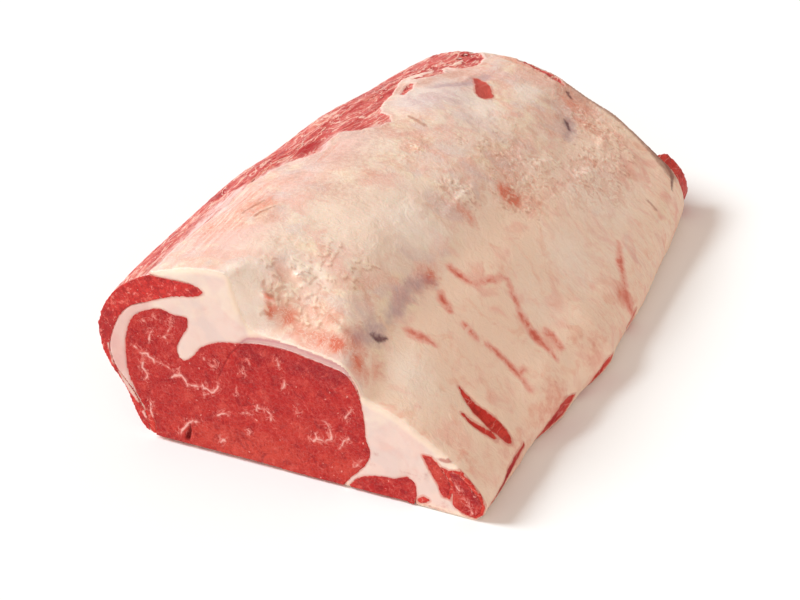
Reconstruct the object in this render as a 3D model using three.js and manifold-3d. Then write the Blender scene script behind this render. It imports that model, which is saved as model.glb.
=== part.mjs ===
// A boneless beef rib roast with its lip left on: one joint of raw meat, cut square across at both ends.
// The lean muscles run the whole length, side by side, and the fat cover wraps over them, fills the seams
// between them and thins out into the lip. Each muscle is a solid of its own, and the fat is one solid round
// all of them.
//
// Millimetres. +X runs from the chine (backbone) side to the lip, +Y from the loin end to the chuck end, and
// +Z up. The roast stands on z = 0, with the origin under the middle of it.
import * as THREE from "three";
import { mergeVertices } from "three/addons/utils/BufferGeometryUtils.js";
import Module from "manifold-3d";

const wasm = await Module();
wasm.setup();

// ---- Driving dimensions ----
const LENGTH = 412;
const LOIN_Y = -LENGTH / 2;
const CHUCK_Y = LENGTH / 2;
const LEAN_PROUD = 4; // how far the lean stands out of the fat at the chuck end
const LIP_PROUD = { fromX: 52, toX: 108, by: 18 }; // and how that grows towards the lip's edge
const SEAM = 0.3; // clearance between a muscle and the fat round it
const OVERRUN = 15; // how far a muscle's loft runs out past what trims it
const BODY_RINGS = 26;
const RING_CROWDING = 1.35; // over 1 crowds a loft's rings towards the loin end

// The whole roast's cross-section: named corners [x, z] at four places along the length, clockwise as seen
// from the loin end.
const SECTION_Y = [LOIN_Y, -120, 40, CHUCK_Y];
const SECTION = {
  heel: [[-92, 0], [-96, 0], [-95, 0], [-84, 0]],
  chine: [[-105.5, 12], [-108, 14], [-103, 14], [-91, 12]],
  keel: [[-113, 31], [-116, 32], [-111, 31], [-97, 25]],
  flank: [[-127.5, 54], [-128, 55], [-118.5, 53], [-102, 43]],
  side: [[-130, 76], [-131, 76], [-120.5, 74], [-103, 59]],
  shoulder: [[-119, 99.5], [-120.5, 99], [-110.5, 94], [-93.5, 76]],
  brow: [[-93, 118], [-92.5, 117.5], [-82.5, 110], [-69.5, 86]],
  crest: [[-52, 130], [-45, 128], [-36, 120], [-36, 91]],
  slope: [[4, 118], [8, 117], [12, 108.5], [3, 84.5]],
  bank: [[34, 88], [30, 101.5], [36, 95], [26, 73.5]],
  crease: [[46, 67], [43, 88], [54, 82], [46, 64.5]],
  brink: [[64, 60], [64, 74], [73, 69], [66, 55]],
  lip: [[87, 47.5], [89, 51], [94.5, 47], [86, 44]],
  hem: [[112, 29.5], [113, 27], [118, 26], [103, 32]],
  edge: [[125, 12.5], [122, 12], [127.5, 12], [108, 12.5]],
  toe: [[118.5, 0], [118, 0], [122.5, 0], [103.5, 0]],
};
// Steps from each corner to the next, and from the toe back along the sole to the heel.
const SECTION_STEPS = [2, 2, 3, 3, 3, 4, 5, 13, 4, 3, 3, 3, 4, 2, 2, 3];

// The slanting knife cut at the loin end that takes the fat off the top of the eye: it leaves a wall of fat
// at its chine side, runs a few millimetres above the eye's top, and rises to nothing along the length.
const KNIFE = {
  fromX: -41,
  toX: 46,
  fade: 12,
  z: 93,
  fallTo: 83,
  rise: 0.56,
  wall: 11,
  spread: 1.3,
  blend: 3,
};

// The roast's underside is rounded up a little at its loin end.
const SOLE_ROUND = { lift: 2.2, length: 9, height: 12, fromX: 95, toX: 35 };

// Low swells of the fat cover: how far apart they are and how high they stand. They and the knife cut fade
// in over the top band.
const SWELL = { acrossX: 83, alongY: 117, height: 1.1 };
const TOP_BAND = { fromZ: 45, toZ: 85 };

// The lip's free edge wanders in and out: [y, how far out, half width]. The waves fade in over the lip band.
const EDGE_WAVES = [[-124, -5.5, 13], [-84, 2, 20], [-22, 5.6, 34], [104, -1.5, 40]];
const LIP_BAND = { fromX: 85, toX: 115 };

// Knife nicks in the fat, and crags where it was torn and stands proud:
// [x, y, length, width, depth or height, degrees turned from across].
const NICKS = [[99, -153, 41, 10, 2.6, 2], [102, -165, 22, 3.4, 1.8, 8]];
const CRAGS = [
  [-18, -188, 34, 6, 1.3, 35], [12, -184, 30, 5, 1.1, -12], [-8, -167, 26, 5, 1, 62],
  [-57, -127, 22, 4, 1.1, 62], [29, -20, 46, 6, 1.2, 86], [-12, 4, 38, 4, 1.1, 110],
  [45, 70, 30, 6, 1.2, 70], [66, 100, 28, 7, 1.3, 75], [60, 150, 26, 8, 1.2, 100],
  [110, 22, 36, 5, 1.1, 75],
];
const LUMP_SIDES = 12;

// ---- The muscles: outlines [x, z] at the loin end, clockwise ----
// "at" and "lift" are how wide and how high an outline grows at the four places along the length. "atChuck"
// is the outline it turns into at the chuck end, where it has one of its own.
const CHINE_SIDE = { at: [1, 1, 0.925, 0.785], lift: [1, 1, 0.935, 0.735] };
const LIP_SIDE = { at: [1, 1, 1.012, 0.87], lift: [1, 0.98, 0.97, 1] };
const MUSCLES = {
  rib_eye: {
    outline: [
      [-93, -9], [-94, 14], [-103.5, 24], [-109, 37], [-111.8, 57], [-109.5, 76], [-104.5, 85.5],
      [-95.6, 91.2], [-87, 94.3], [-78, 92], [-69.6, 92.6], [-69.6, 87], [-73.5, 80], [-77, 72.2],
      [-76.4, 63.8], [-71.6, 61.6], [-64.8, 67], [-60.5, 73.5], [-48, 80.5], [-36, 83], [-22, 86],
      [-5, 87], [10, 84.8], [25, 82.2], [34.5, 80], [41, 74], [44.2, 62], [46.4, 48], [47.3, 36.5],
      [50, 30], [46.2, 19.5], [36.5, 8], [33, 2], [32, -9],
    ],
    growth: CHINE_SIDE,
    steps: 2,
    rings: 11,
    colour: 0xb23a3c,
  },
  cap_muscle: {
    outline: [
      [-110, -9], [-125, 15], [-150, 50], [-150, 90], [-125, 116], [-100, 119], [-90, 116.5],
      [-79, 116.3], [-67, 116.8], [-58, 113.3], [-65, 109.4], [-74, 107.8], [-86.6, 103], [-97, 98],
      [-107.4, 93.4], [-116.4, 83.4], [-121.4, 71.5], [-124.2, 62], [-123.6, 53], [-120, 44.5],
      [-113.5, 36.5], [-107.5, 29], [-102.5, 19], [-99.5, 9], [-97, -9],
    ],
    growth: CHINE_SIDE,
    steps: 2,
    rings: 11,
    colour: 0xb8353a,
  },
  side_strap: {
    outline: [
      [36, -9], [37.8, 2.5], [41.5, 7.5], [47, 11.3], [55, 13.8], [67, 15], [74.5, 18.6], [79, 15.5],
      [80, 8], [78.5, -9],
    ],
    growth: LIP_SIDE,
    steps: 1,
    rings: 9,
    colour: 0xa8343a,
  },
  lip_strap: {
    outline: [
      [85.2, 37], [91, 34.6], [96, 29.8], [100, 25], [101.8, 21], [100.8, 16], [99.5, 12], [96.5, 14],
      [95.2, 19], [92.5, 25], [88.5, 31],
    ],
    atChuck: [
      [51, 46], [57, 47], [62, 46.5], [66, 44], [68.5, 39], [69.5, 32], [69, 26], [65, 24.5],
      [60, 28], [55, 33], [51, 39],
    ],
    growth: LIP_SIDE,
    steps: 1,
    rings: 9,
    colour: 0xb23038,
  },
  lip_edge: {
    outline: [
      [102, 29.5], [105.5, 30], [109, 27.6], [111.5, 24.5], [116, 20.3], [120, 16.8], [121.5, 12.5],
      [120.5, 7.5], [117.5, 3.6], [112, 4.4], [106, 6.6], [104.2, 9.5], [105, 14.5], [104.4, 21],
      [103.8, 25],
    ],
    atChuck: [
      [74, 46], [82, 43], [90, 38.6], [98, 32.5], [103, 26], [105.8, 19], [106.6, 12.5], [105, 6.5],
      [101.5, 3], [93, 3], [84, 3.5], [76, 6], [73.5, 14], [72.5, 24], [72.5, 35],
    ],
    growth: LIP_SIDE,
    steps: 1,
    rings: BODY_RINGS,
    colour: 0xae2c34,
  },
};
const LEAN_ROUGHNESS = 0.4;
const FAT_COLOUR = 0xe6cdb2;
const FAT_ROUGHNESS = 0.5;

// ---- Small helpers ----
const clamp01 = (t) => Math.min(1, Math.max(0, t));

const ease = (t) => {
  const s = clamp01(t);
  return s * s * (3 - 2 * s);
};

// How far a value is through a stretch, eased from 0 to 1.
const through = (value, from, to) => ease((value - from) / (to - from));

// A hump of height 1 at centre, falling to 0 at half a width away.
const hump = (value, centre, half) => 1 - ease(Math.abs(value - centre) / half);

// The slope a smooth curve through the section places has at one of them, with no overshoot.
function slopeAt(values, i) {
  if (i === 0 || i === values.length - 1) {
    const k = Math.max(1, i);
    return (values[k] - values[k - 1]) / (SECTION_Y[k] - SECTION_Y[k - 1]);
  }
  const before = (values[i] - values[i - 1]) / (SECTION_Y[i] - SECTION_Y[i - 1]);
  const after = (values[i + 1] - values[i]) / (SECTION_Y[i + 1] - SECTION_Y[i]);
  return before * after > 0 ? (2 * before * after) / (before + after) : 0;
}

// A size that changes smoothly through the four section places.
function along(y, values) {
  const inside = Math.min(CHUCK_Y, Math.max(LOIN_Y, y));
  const k = Math.max(1, SECTION_Y.findIndex((at) => inside <= at));
  const span = SECTION_Y[k] - SECTION_Y[k - 1];
  const t = (inside - SECTION_Y[k - 1]) / span;
  const blend = ease(t);
  const leave = t * (1 - t) ** 2 * span * slopeAt(values, k - 1);
  const arrive = t ** 2 * (t - 1) * span * slopeAt(values, k);
  return values[k - 1] * (1 - blend) + values[k] * blend + leave + arrive;
}

// Points on a closed smooth curve through corners, with the given number of steps after each corner.
function smoothRing(corners, stepsAfter) {
  const curve = new THREE.CatmullRomCurve3(
    corners.map(([x, z]) => new THREE.Vector3(x, z, 0)),
    true,
    "centripetal",
  );
  const ring = [];
  corners.forEach((corner, i) => {
    for (let k = 0; k < stepsAfter(i); k++) {
      const p = curve.getPoint((i + k / stepsAfter(i)) / corners.length);
      ring.push([p.x, p.y]);
    }
  });
  return ring;
}

// A ring moved inwards, square to its own line, by a distance.
function inset(ring, distance) {
  return ring.map(([x, z], i) => {
    const [px, pz] = ring[(i + ring.length - 1) % ring.length];
    const [nx, nz] = ring[(i + 1) % ring.length];
    const long = Math.hypot(nx - px, nz - pz);
    return [x + ((nz - pz) / long) * distance, z - ((nx - px) / long) * distance];
  });
}

// The closed solid through a row of clockwise rings, one ring at each y, with flat ends.
function loft(rings, ys) {
  const count = rings[0].length;
  const position = [];
  const index = [];
  rings.forEach((ring, row) => ring.forEach(([x, z]) => position.push(x, ys[row], z)));
  for (let row = 0; row + 1 < rings.length; row++) {
    for (let i = 0; i < count; i++) {
      const a = row * count + i;
      const b = row * count + ((i + 1) % count);
      index.push(a, b, a + count, b, b + count, a + count);
    }
  }
  for (const row of [0, rings.length - 1]) {
    const contour = rings[row].map(([x, z]) => new THREE.Vector2(x, z));
    for (const corners of THREE.ShapeUtils.triangulateShape(contour, [])) {
      const faces = THREE.ShapeUtils.area(corners.map((k) => contour[k])) > 0 === (row === 0);
      const [p, q, r] = corners.map((k) => k + row * count);
      index.push(p, ...(faces ? [q, r] : [r, q]));
    }
  }
  const geometry = new THREE.BufferGeometry();
  geometry.setAttribute("position", new THREE.Float32BufferAttribute(position, 3));
  geometry.setIndex(index);
  return geometry;
}

function solidOf(geometry) {
  const merged = mergeVertices(geometry, 1e-4);
  return new wasm.Manifold(
    new wasm.Mesh({
      numProp: 3,
      vertProperties: merged.attributes.position.array,
      triVerts: new Uint32Array(merged.index.array),
    }),
  );
}

function geometryOf(solid) {
  const mesh = solid.getMesh();
  const position = new Float32Array(mesh.numVert * 3);
  for (let i = 0; i < mesh.numVert; i++) {
    position.set(mesh.vertProperties.subarray(i * mesh.numProp, i * mesh.numProp + 3), i * 3);
  }
  const geometry = new THREE.BufferGeometry();
  geometry.setAttribute("position", new THREE.BufferAttribute(position, 3));
  geometry.setIndex(new THREE.BufferAttribute(new Uint32Array(mesh.triVerts), 1));
  const flat = geometry.toNonIndexed();
  flat.computeVertexNormals();
  return flat;
}

// ---- The whole roast ----

// How much the knife takes off the top at a place whose top is at z.
function knifeDepth(x, y, z) {
  const fromEnd = y - LOIN_Y;
  const wall = KNIFE.wall + KNIFE.spread * fromEnd;
  const share = ease((x - KNIFE.fromX) / wall) * (1 - ease((x - KNIFE.toX) / KNIFE.fade));
  const sag = clamp01((x - KNIFE.fromX) / (KNIFE.toX - KNIFE.fromX)) ** 2;
  const cutZ = KNIFE.z + (KNIFE.fallTo - KNIFE.z) * sag + KNIFE.rise * fromEnd;
  return share * KNIFE.blend * Math.log1p(Math.exp((z - cutZ) / KNIFE.blend));
}

// How far the lip's edge waves move a place outwards.
function edgeWave(x, y) {
  const out = EDGE_WAVES.reduce((sum, [at, reach, half]) => sum + reach * hump(y, at, half), 0);
  return out * through(x, LIP_BAND.fromX, LIP_BAND.toX);
}

function soleLift(x, y, z) {
  const near = (1 - ease((y - LOIN_Y) / SOLE_ROUND.length)) * (1 - ease(z / SOLE_ROUND.height));
  return SOLE_ROUND.lift * near * through(x, SOLE_ROUND.fromX, SOLE_ROUND.toX);
}

function swell(x, y) {
  const turn = 2 * Math.PI;
  return SWELL.height * Math.sin((turn * x) / SWELL.acrossX) * Math.cos((turn * y) / SWELL.alongY);
}

function bodyRing(y) {
  const corners = Object.values(SECTION).map((places) => [
    along(y, places.map((p) => p[0])),
    along(y, places.map((p) => p[1])),
  ]);
  return smoothRing(corners, (i) => SECTION_STEPS[i]).map(([x, z]) => {
    const high = through(z, TOP_BAND.fromZ, TOP_BAND.toZ);
    const top = z + high * (swell(x, y) - knifeDepth(x, y, z));
    return [x + edgeWave(x, y), Math.max(top, soleLift(x, y, z))];
  });
}

// Places for a loft's rings: close together at the loin end, where the knife cut is, and then wider apart.
function stations(count) {
  return Array.from({ length: count }, (_, i) => LOIN_Y + LENGTH * (i / (count - 1)) ** RING_CROWDING);
}

const bodyYs = stations(BODY_RINGS);
const body = solidOf(loft(bodyYs.map(bodyRing), bodyYs));

// A lens that lies on the roast's top, half sunk in it, for a nick to be cut by or a crag to be made of.
function lens([x, y, long, wide, high, degrees]) {
  const ring = bodyRing(y);
  const k = ring.findIndex(([px], i) => px <= x && x < ring[(i + 1) % ring.length][0]);
  const [[px, pz], [qx, qz]] = [ring[k], ring[(k + 1) % ring.length]];
  const slope = (qz - pz) / (qx - px);
  const shape = new THREE.SphereGeometry(1, LUMP_SIDES, LUMP_SIDES / 2).scale(long / 2, wide / 2, high);
  shape.rotateZ(THREE.MathUtils.degToRad(degrees)).rotateY(-Math.atan(slope));
  shape.translate(x, y, pz + slope * (x - px));
  return solidOf(shape.deleteAttribute("normal").deleteAttribute("uv"));
}

// ---- The muscles and the fat round them ----

function muscleRing({ outline, atChuck, growth, steps }, y, clearance) {
  const turned = through(y, SECTION_Y[2], CHUCK_Y);
  const corners = outline.map(([x, z], i) => {
    const grown = [x * along(y, growth.at), z > 0 ? z * along(y, growth.lift) : z];
    return atChuck ? grown.map((size, k) => size * (1 - turned) + atChuck[i][k] * turned) : grown;
  });
  const ring = smoothRing(corners, () => steps);
  return inset(ring.map(([x, z]) => [x + edgeWave(x, y), z]), clearance);
}

function muscleLoft(muscle, clearance) {
  const ys = stations(muscle.rings);
  const rings = ys.map((y) => muscleRing(muscle, y, clearance));
  ys[0] -= OVERRUN;
  ys[ys.length - 1] += OVERRUN;
  return solidOf(loft(rings, ys));
}

const roast = new THREE.Group();

// Adds a solid to the roast as a named mesh in a moist finish.
function addNode(name, solid, colour, roughness) {
  const finish = new THREE.MeshStandardMaterial({ color: colour, roughness, metalness: 0 });
  const mesh = new THREE.Mesh(geometryOf(solid), finish);
  mesh.name = name;
  roast.add(mesh);
}

// A big block that ends at the fat's own end face, turned about an upright line at x on that face.
function fatSpan(x, turn) {
  const size = 2 * LENGTH;
  const block = new THREE.BoxGeometry(size, size, size).translate(0, -size / 2, 0);
  block.rotateZ(turn).translate(x, CHUCK_Y - LEAN_PROUD, 0);
  return solidOf(block.deleteAttribute("normal").deleteAttribute("uv"));
}

const lipTurn = Math.atan((LIP_PROUD.by - LEAN_PROUD) / (LIP_PROUD.toX - LIP_PROUD.fromX));
const cover = CRAGS.reduce((solid, crag) => solid.add(lens(crag)), body);
let fat = NICKS.reduce((solid, nick) => solid.subtract(lens(nick)), cover);
fat = fat.intersect(fatSpan(0, 0)).intersect(fatSpan(LIP_PROUD.fromX, -lipTurn));
for (const [name, muscle] of Object.entries(MUSCLES)) {
  fat = fat.subtract(muscleLoft(muscle, 0));
  addNode(name, body.intersect(muscleLoft(muscle, SEAM)), muscle.colour, LEAN_ROUGHNESS);
}
addNode("fat_cover", fat, FAT_COLOUR, FAT_ROUGHNESS);

export default roast;
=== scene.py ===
from math import cos, radians, sin

import bpy
import numpy as np
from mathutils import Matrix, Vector, noise
from mathutils.bvhtree import BVHTree


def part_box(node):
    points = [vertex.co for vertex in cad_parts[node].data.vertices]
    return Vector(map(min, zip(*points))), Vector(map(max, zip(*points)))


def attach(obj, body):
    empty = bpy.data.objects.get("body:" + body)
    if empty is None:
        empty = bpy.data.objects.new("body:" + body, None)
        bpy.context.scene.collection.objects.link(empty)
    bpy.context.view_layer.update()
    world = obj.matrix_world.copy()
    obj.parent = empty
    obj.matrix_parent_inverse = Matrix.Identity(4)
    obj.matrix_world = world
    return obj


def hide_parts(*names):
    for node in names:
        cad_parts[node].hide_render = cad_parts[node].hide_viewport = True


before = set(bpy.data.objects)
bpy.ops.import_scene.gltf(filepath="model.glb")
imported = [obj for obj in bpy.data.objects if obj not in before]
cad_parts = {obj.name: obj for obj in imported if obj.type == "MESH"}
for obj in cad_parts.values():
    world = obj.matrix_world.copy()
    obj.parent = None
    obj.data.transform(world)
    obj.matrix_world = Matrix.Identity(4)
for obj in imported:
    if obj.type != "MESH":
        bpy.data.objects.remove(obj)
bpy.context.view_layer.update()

# ---- The studio ----
# White paper under and behind the roast, a wide soft light from the left, a weak one from the front, and
# warm light from all round. The camera looks down on the loin end through a long lens.
MM = 0.001
AIM_MM = (0.4, -51.4, 38.0)
CAMERA_TURN = radians(24.23)
CAMERA_TILT = radians(31.02)
CAMERA_AWAY_MM = 1789
LENS_MM = 126
SENSOR_MM = 36
PAPER = 0.95
PAPER_ROUGHNESS = 0.9
PAPER_SHINE = 0.1
ROOM_TINT = (1.0, 0.81, 0.69, 1)
ROOM_GLOW = 0.545
# Each light: its name, where it comes from, how wide it is, its strength and its colour.
LIGHTS = [
    ("window", (-1.0, -0.26, 0.85), radians(22), 3.05, (0.84, 0.95, 1.0)),
    ("front_card", (0.25, -0.92, 0.42), radians(70), 0.75, (1.0, 0.97, 0.94)),
]
FLOOR_SIDE_M = 12

aim = Vector(AIM_MM) * MM
backwards = Vector((
    sin(CAMERA_TURN) * cos(CAMERA_TILT),
    -cos(CAMERA_TURN) * cos(CAMERA_TILT),
    sin(CAMERA_TILT),
))
camera = bpy.data.objects.new("camera", bpy.data.cameras.new("camera"))
bpy.context.collection.objects.link(camera)
camera.data.lens = LENS_MM
camera.data.sensor_width = SENSOR_MM
camera.location = aim + backwards * CAMERA_AWAY_MM * MM
camera.rotation_euler = backwards.to_track_quat("Z", "Y").to_euler()
bpy.context.scene.camera = camera

for name, way, spread, strength, tint in LIGHTS:
    light = bpy.data.objects.new(name, bpy.data.lights.new(name, "SUN"))
    bpy.context.collection.objects.link(light)
    light.data.energy = strength
    light.data.angle = spread
    light.data.color = tint
    light.rotation_euler = Vector(way).to_track_quat("Z", "Y").to_euler()

world = bpy.data.worlds.new("pale_room")
bpy.context.scene.world = world
world.use_nodes = True
room = world.node_tree.nodes["Background"]
room.inputs["Color"].default_value = ROOM_TINT
room.inputs["Strength"].default_value = ROOM_GLOW
bpy.context.scene.view_settings.view_transform = "Standard"

bpy.ops.mesh.primitive_plane_add(size=FLOOR_SIDE_M)
floor = bpy.context.object
floor.name = "paper_floor"
paper = bpy.data.materials.new("matt_white_paper")
paper.use_nodes = True
paper_shader = paper.node_tree.nodes["Principled BSDF"]
paper_shader.inputs["Base Color"].default_value = (PAPER, PAPER, PAPER, 1)
paper_shader.inputs["Roughness"].default_value = PAPER_ROUGHNESS
paper_shader.inputs["Specular IOR Level"].default_value = PAPER_SHINE
floor.data.materials.append(paper)

# ---- The eye of lean ----
# The big round rib-eye muscle, cut square across its grain at both ends. The cut is moist, dark red and
# finely grained, with a few branching threads of marbling, and stands a hair proud of the fat round it.
LOIN_Y, CHUCK_Y = (corner.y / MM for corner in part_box("rib_eye"))
CHUCK_SLANT = 24   # how far the chuck end's face leans back from its foremost place
LEAN_VOXEL = 1.0   # the fineness of the working mesh
SEAM_GAP = 0.45    # past the gap that the seams of the solids have
SEAM_LAP = 1.3     # how far a muscle is widened into the fat, so that no gap shows at the seam
MOST_FAT = 200     # there is less fat than this beside any muscle
LAP_SHARE = 0.35   # but no further than this share of the fat's thickness there
TOUCHING = 0.6     # a muscle's wall this near the fat lies against it
WALL_GAP = 1.4     # a place this near to a neighbour that faces it is hidden in a seam
RIM = 4.0          # the part of a hidden wall by a cut that keeps its fine mesh
SOLE = 0.6         # how thick the layer at the flat underside is that needs no fine mesh
ON_CUT = 0.3       # a place this near the loin end lies on its cut face
SEAM_SHARE = 0.03  # how much of its mesh a hidden wall keeps
SOLE_SHARE = 0.3   # and how much the flat underside does
LEAN_PROUD = 0.12  # how far cut lean stands out past the cut fat
GRAIN_RELIEF, MARBLING_RELIEF = 0.16, 0.12
GAPE_DEPTH, FURROW_DEPTH = 2.6, 0.25
WET_IOR = 1.4      # meat juice over flesh
LIP_AT = (98, 116)  # the lip's free edge starts, and is full, this far out
EYE_SIDE = 42      # the eye's muscle lies short of this, and the lip's straps past it
UPPER_SIDE = 30    # what is drawn on the skin from above ends at this height
LIP_TOP = 14       # and, over the lip, at this one
LIP_FACE = 112     # the lip's free edge lies past this
FAR = 30           # a distance past all that the materials look at
OFF_END = 9        # the same for what only the loin end has
LEAST_SKIN = 2.2   # the least thickness of fat over a muscle near the lip
# How far the lip's free edge is filled out at some places along it: (y, mm).
LIP_SWELL = [
    (-206, 0), (-180, 0.5), (-139, 1.2), (-116, 3.2), (-90, 3.6), (-70, 4.2), (-55, 4.6), (-38, 3.4),
    (-20, 2.6), (10, 1.8), (40, 0.9), (70, 0),
]


def vectors(items, key):
    """One vector for each item of a mesh, as the rows of an array."""
    flat = np.empty(len(items) * 3)
    items.foreach_get(key, flat)
    return flat.reshape(-1, 3)


def places_of(piece):
    """Where a piece's vertices are, in millimetres."""
    return vectors(piece.data.vertices, "co") / MM


def facing_of(piece):
    """Which way the surface faces at each vertex."""
    return vectors(piece.data.vertex_normals, "vector")


def crosswise(piece):
    """Which way the surface faces at each vertex, square to the roast's length."""
    across = facing_of(piece) * (1, 0, 1)
    return across / np.maximum(np.linalg.norm(across, axis=1, keepdims=True), 1e-6)


def move_to(piece, places):
    piece.data.vertices.foreach_set("co", (places * MM).ravel())
    piece.data.update()


def keep(piece, **fields):
    """Keeps numbers for each vertex, by name, for the material to read."""
    for name, values in fields.items():
        field = piece.data.attributes.new(name, "FLOAT", "POINT")
        field.data.foreach_set("value", np.asarray(values, dtype=np.float32))


def ease(values, start, end):
    """0 before start, 1 past end, and smooth between."""
    t = np.clip((values - start) / (end - start), 0, 1)
    return t * t * (3 - 2 * t)


def wander(places, size, seed, octaves=2):
    """Smooth noise from about -1 to 1, with lumps of that size in mm (one size, or one for each way)."""
    scaled = places / np.array(size, dtype=float) + np.array([seed, 1.7 * seed, -2.3 * seed])
    return np.array([noise.fractal(p, 1.0, 2.0, octaves) for p in scaled.tolist()])


def from_strokes(across, up, strokes):
    """Distance in mm to the nearest stroke, less than 0 inside: each a row of (x, y, half width)."""
    nearest = np.full(len(across), 1e3)
    for stroke in strokes:
        for (ax, ay, ar), (bx, by, br) in zip(stroke, stroke[1:]):
            run = np.array([bx - ax, by - ay])
            t = ((across - ax) * run[0] + (up - ay) * run[1]) / max(run @ run, 1e-9)
            t = np.clip(t, 0, 1)
            gap = np.hypot(across - ax - t * run[0], up - ay - t * run[1]) - (ar + t * (br - ar))
            nearest = np.minimum(nearest, gap)
    return nearest


def mode(name):
    bpy.ops.object.mode_set(mode=name)


def pick_only(piece):
    bpy.ops.object.select_all(action="DESELECT")
    piece.select_set(True)
    bpy.context.view_layer.objects.active = piece


def surface_of(names):
    """The surfaces of some CAD nodes, for finding what is near them."""
    corners, faces = [], []
    for name in names:
        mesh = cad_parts[name].data
        start = len(corners)
        corners.extend(v.co for v in mesh.vertices)
        faces.extend([start + i for i in p.vertices] for p in mesh.polygons)
    return BVHTree.FromPolygons(corners, faces)


def from_surface(surface, places, chosen, most):
    """Distance in mm from the chosen places to some surfaces, and that most for all the others."""
    gaps = np.full(len(places), float(most))
    for i in np.flatnonzero(chosen):
        gaps[i] = (surface.find_nearest(places[i] * MM, most * MM)[3] or most * MM) / MM
    return gaps


def rough_out(node_name, piece_name, voxel):
    """A closed working mesh of a CAD node, in voxels of that size in mm."""
    piece = bpy.data.objects.new(piece_name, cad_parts[node_name].data.copy())
    bpy.context.collection.objects.link(piece)
    pick_only(piece)
    mode("EDIT")
    bpy.ops.mesh.select_all(action="SELECT")
    bpy.ops.mesh.remove_doubles(threshold=0.01 * MM)
    mode("OBJECT")
    if node_name == "fat_cover":
        fill_out(piece)
    else:
        lap_into_fat(piece)
    remesh = piece.modifiers.new("voxels", "REMESH")
    remesh.mode = "VOXEL"
    remesh.voxel_size = voxel * MM
    remesh.use_smooth_shade = True
    bpy.ops.object.modifier_apply(modifier=remesh.name)
    return piece


def fill_out(piece):
    """Gives the fat's skin some thickness where it hardly covers a muscle, and the lip its rounded edge."""
    lean = surface_of([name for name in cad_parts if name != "fat_cover"])
    places = places_of(piece)
    across = crosswise(piece)
    swell = np.interp(places[:, 1], *zip(*LIP_SWELL))
    swell = swell * ease(across[:, 0], 0.0, 0.4) * ease(places[:, 0], *LIP_AT)
    for i in np.flatnonzero(places[:, 0] > 10):
        x, y, z = places[i]
        spot = Vector((x, min(max(y, LOIN_Y + 2), CHUCK_Y - 2), z)) * MM
        found, way, _, gap = lean.find_nearest(spot, LEAST_SKIN * MM)
        if found is not None and way.dot(Vector(across[i])) > 0.3:
            swell[i] = max(swell[i], LEAST_SKIN - gap / MM)
    places += across * swell[:, None]
    places[:, 2] = np.maximum(places[:, 2], 0)
    move_to(piece, places)


def lap_into_fat(piece):
    """Widens a muscle's mesh where it lies against the fat, and less where the fat is thin."""
    fat = surface_of(["fat_cover"])
    places = places_of(piece)
    for i, way in enumerate(crosswise(piece)):
        if fat.find_nearest(places[i] * MM, TOUCHING * MM)[0] is None:
            continue
        thick = fat.ray_cast((places[i] + way * SEAM_GAP) * MM, way, MOST_FAT * MM)[3] or 0
        places[i] += way * min(SEAM_LAP, LAP_SHARE * thick / MM)
    places[:, 2] = np.maximum(places[:, 2], 0)
    move_to(piece, places)


def hidden_in_seam(piece, neighbours):
    """Which vertices lie in a closed seam, away from its rims, where nothing is ever seen."""
    walls = surface_of(neighbours)
    places = places_of(piece)
    facing = facing_of(piece)
    hidden = np.zeros(len(places), dtype=bool)
    inside = (places[:, 1] > LOIN_Y + RIM) & (places[:, 1] < CHUCK_Y - CHUCK_SLANT - 2) & (places[:, 2] > RIM)
    for i in np.flatnonzero(inside):
        spot, way, _, _ = walls.find_nearest(places[i] * MM, WALL_GAP * MM)
        hidden[i] = spot is not None and way.dot(Vector(facing[i])) < -0.2
    return hidden


def pick_part(piece, chosen):
    """Opens a piece for editing with only the chosen vertices selected."""
    pick_only(piece)
    mode("EDIT")
    bpy.ops.mesh.select_mode(type="VERT")
    bpy.ops.mesh.select_all(action="DESELECT")
    mode("OBJECT")
    piece.data.vertices.foreach_set("select", chosen)
    mode("EDIT")


def thin_out(piece, chosen, share):
    """Leaves only a share of the chosen part's triangles."""
    pick_part(piece, chosen)
    bpy.ops.mesh.decimate(ratio=share)
    mode("OBJECT")


def triangles_of(piece, chosen):
    """How many triangles lie wholly in the chosen part."""
    return sum(len(p.vertices) - 2 for p in piece.data.polygons if all(chosen[i] for i in p.vertices))


def refine(piece, chosen):
    """Splits each of the chosen faces into four."""
    pick_part(piece, chosen)
    bpy.ops.mesh.subdivide(number_cuts=1)
    mode("OBJECT")


def smooth_skin(piece, amount, rounds):
    """Relaxes the surface by an amount from 0 to 1 for each vertex."""
    pick_only(piece)
    group = piece.vertex_groups.new(name="skin")
    levels = np.round(amount * 10).astype(int)
    for level in range(1, 11):
        group.add(np.flatnonzero(levels == level).tolist(), level / 10, "REPLACE")
    relax = piece.modifiers.new("relax", "SMOOTH")
    relax.factor = 0.5
    relax.iterations = rounds
    relax.vertex_group = group.name
    bpy.ops.object.modifier_apply(modifier=relax.name)
    piece.vertex_groups.clear()


def cut_share(places, facing):
    """1 on the two square-cut ends, 0 on the skin, and a little of each at the edge between."""
    by_end = np.maximum(LOIN_Y + 1.5 - places[:, 1], places[:, 1] - CHUCK_Y + CHUCK_SLANT)
    return ease(np.abs(facing[:, 1]), 0.55, 0.85) * (by_end > 0)


def cut_waves(places):
    """The knife's slight waves over a cut end, the same for every piece that it cut through."""
    flat = places * (1, 0, 1)
    return 0.28 * wander(flat, 34, 3.1) + 0.12 * wander(flat, 9, 8.4)


def linear(code):
    """An sRGB hex colour as the linear values that a shader takes."""
    parts = [int(code[i:i + 2], 16) / 255 for i in (1, 3, 5)]
    return [p / 12.92 if p <= 0.04045 else ((p + 0.055) / 1.055) ** 2.4 for p in parts] + [1.0]


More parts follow.
